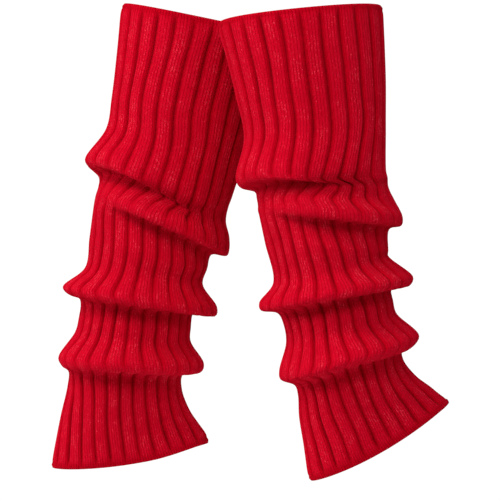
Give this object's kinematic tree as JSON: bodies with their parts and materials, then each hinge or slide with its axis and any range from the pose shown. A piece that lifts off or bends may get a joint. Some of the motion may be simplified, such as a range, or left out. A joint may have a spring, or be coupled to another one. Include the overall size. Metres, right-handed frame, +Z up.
{
  "type": "pair of slouch leg warmers",
  "caption": "Worn pair of chunky rib-knit slouch leg warmers: hollow tubes with a smooth upper band, gathered slouch folds round the calf and a flared hem, open at both ends.",
  "frame": {"origin": "midway between the two legs, at the height where the upper bands grip the calves", "axes": "+Z up the legs, +X to the right of the front view, +Y to the back"},
  "size_m": [0.3506, 0.2248, 0.4205],
  "materials": {
    "red_rib_knit": "matt, softly fuzzy chunky acrylic rib knit in one strong red"
  },
  "bodies": {
    "root": {"left_leg_warmer": "red_rib_knit", "right_leg_warmer": "red_rib_knit"}
  },
  "joints": []
}
